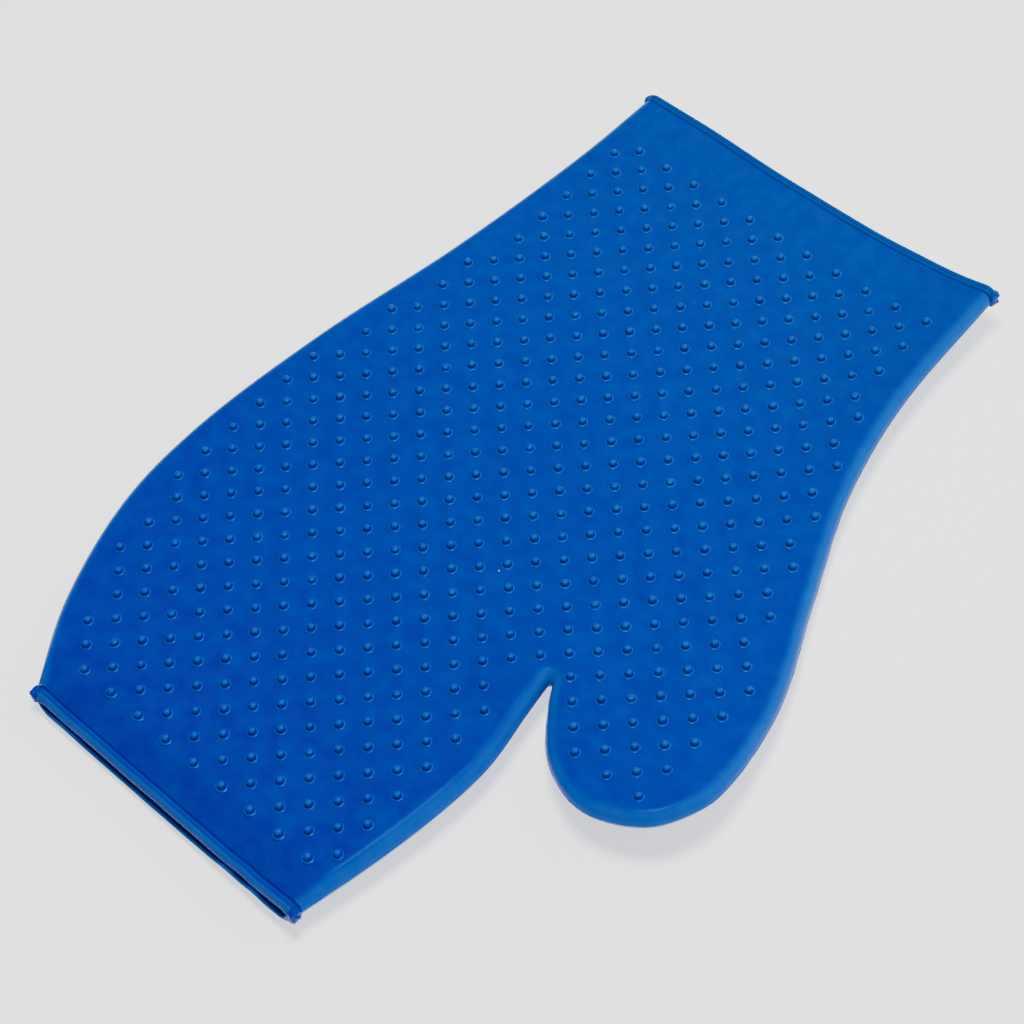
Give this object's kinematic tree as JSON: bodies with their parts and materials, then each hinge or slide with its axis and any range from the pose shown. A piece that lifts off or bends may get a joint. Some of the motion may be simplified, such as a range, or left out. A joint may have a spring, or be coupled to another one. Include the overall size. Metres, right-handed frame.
{
  "type": "rubber mitt",
  "caption": "Flat moulded rubber mitt with a thumb, open at the wrist and at the finger end, fine nubs on the front, coarse nubs on the back, raised rims at both mouths.",
  "frame": {"origin": "on the surface the mitt lies on, under the middle of its bounding box", "axes": "+X towards the thumb side, +Y towards the wrist, +Z out of the face with the fine nubs"},
  "size_m": [0.1756, 0.2436, 0.0106],
  "materials": {
    "nubbed_front": "satin moulded rubber, saturated blue",
    "nubbed_back": "satin moulded rubber, slightly duller blue",
    "side_wall": "smooth satin rubber along the joined sides",
    "rim": "smooth satin rubber bead with a trimmed edge"
  },
  "bodies": {
    "palm": {"palm_front_panel": "nubbed_front", "palm_back_panel": "nubbed_back", "palm_side_wall_outer": "side_wall", "palm_side_wall_thumb": "side_wall", "palm_web_wall": "side_wall", "wrist_rim_front": "rim", "wrist_rim_back": "rim", "wrist_corner_outer": "rim", "wrist_corner_thumb": "rim"},
    "fingers": {"finger_front_panel": "nubbed_front", "finger_back_panel": "nubbed_back", "finger_side_wall_outer": "side_wall", "finger_side_wall_inner": "side_wall", "finger_rim_front": "rim", "finger_rim_back": "rim", "finger_corner_outer": "rim", "finger_corner_inner": "rim"},
    "thumb": {"thumb_front_panel": "nubbed_front", "thumb_back_panel": "nubbed_back", "thumb_side_wall": "side_wall"}
  },
  "joints": [
    {"name": "finger_bend", "type": "hinge", "parent": "palm", "child": "fingers", "pos_m": [-0.0235, -0.05337, 0.0091], "axis": [-1, 0, 0], "range_deg": [0, 75], "stiffness_Nm_per_rad": 0.03},
    {"name": "thumb_bend", "type": "hinge", "parent": "palm", "child": "thumb", "pos_m": [0.0641, -0.0275, 0.0091], "axis": [-0.7071, -0.7071, 0], "range_deg": [0, 60], "stiffness_Nm_per_rad": 0.01}
  ]
}
